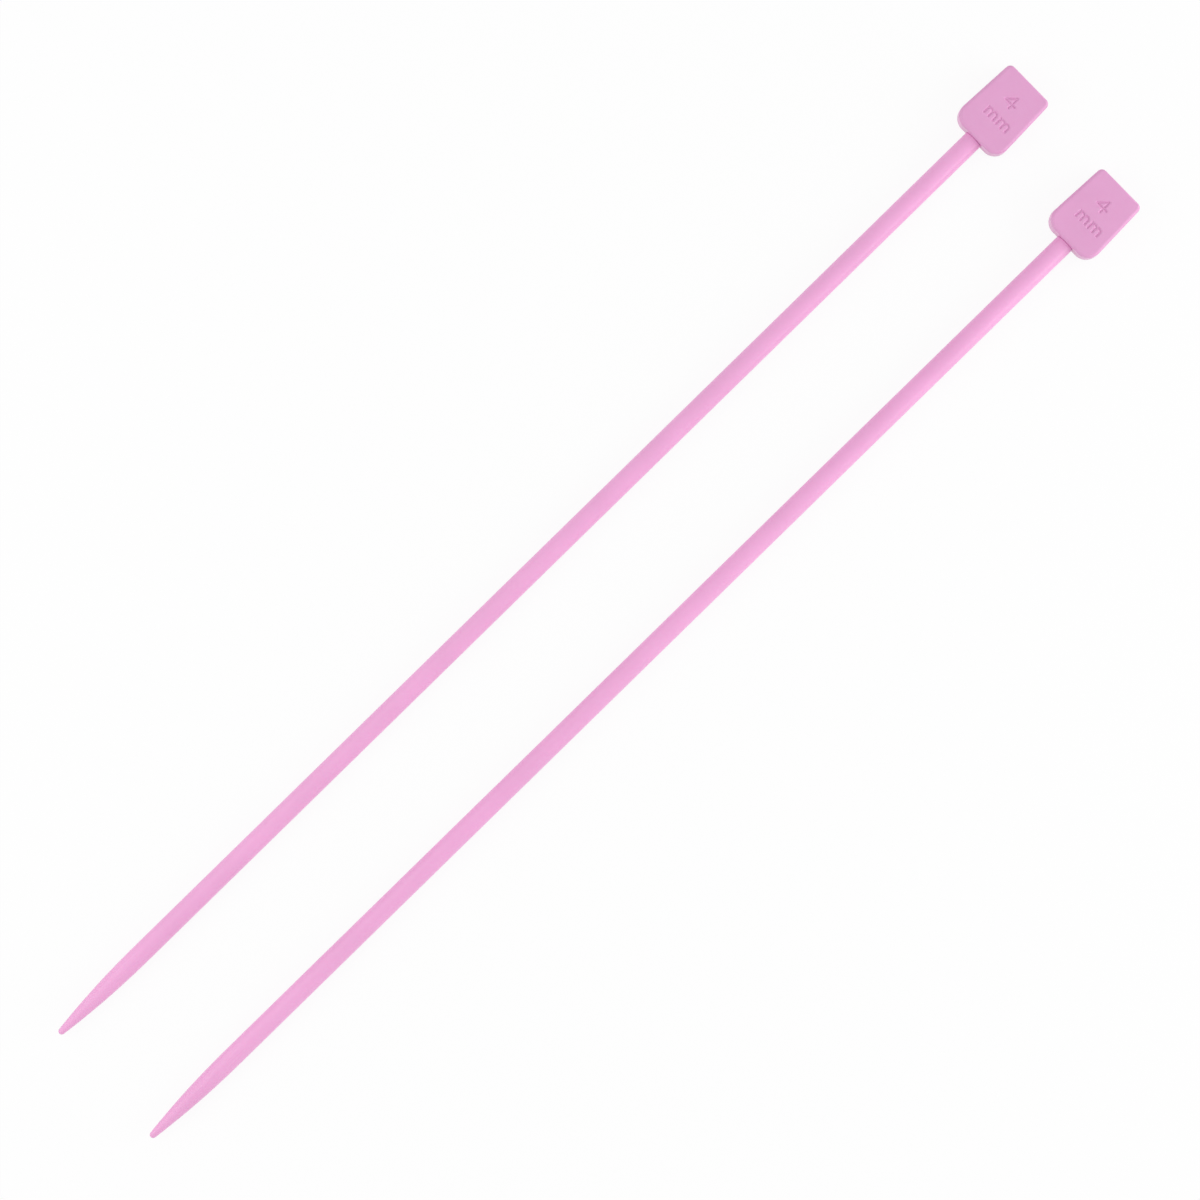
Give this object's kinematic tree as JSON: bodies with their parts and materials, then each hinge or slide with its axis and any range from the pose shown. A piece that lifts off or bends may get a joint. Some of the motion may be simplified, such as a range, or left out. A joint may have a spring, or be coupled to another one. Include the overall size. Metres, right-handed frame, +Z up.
{
  "type": "straight knitting needles",
  "caption": "Straight knitting needles: round plastic shanks with blunt tapered points and flat tab heads that keep the stitches from sliding off.",
  "frame": {"origin": "middle of the pair's footprint, on the table that the needles lie on", "axes": "+X along the needles from the points to the heads, +Y towards the left needle, +Z up, out of the heads' marked faces"},
  "size_m": [0.2709, 0.0396, 0.0065],
  "materials": {
    "shank_plastic": "satin, pink, ground smooth at the point",
    "head_plastic": "soft satin, pink, moulded"
  },
  "bodies": {
    "left_needle": {"left_shank": "shank_plastic", "left_head": "head_plastic"},
    "right_needle": {"right_shank": "shank_plastic", "right_head": "head_plastic"}
  },
  "joints": [
    {"name": "right_needle_draw", "type": "slide", "parent": "left_needle", "child": "right_needle", "axis": [1, 0, 0], "range_m": [0, 0.254]}
  ]
}
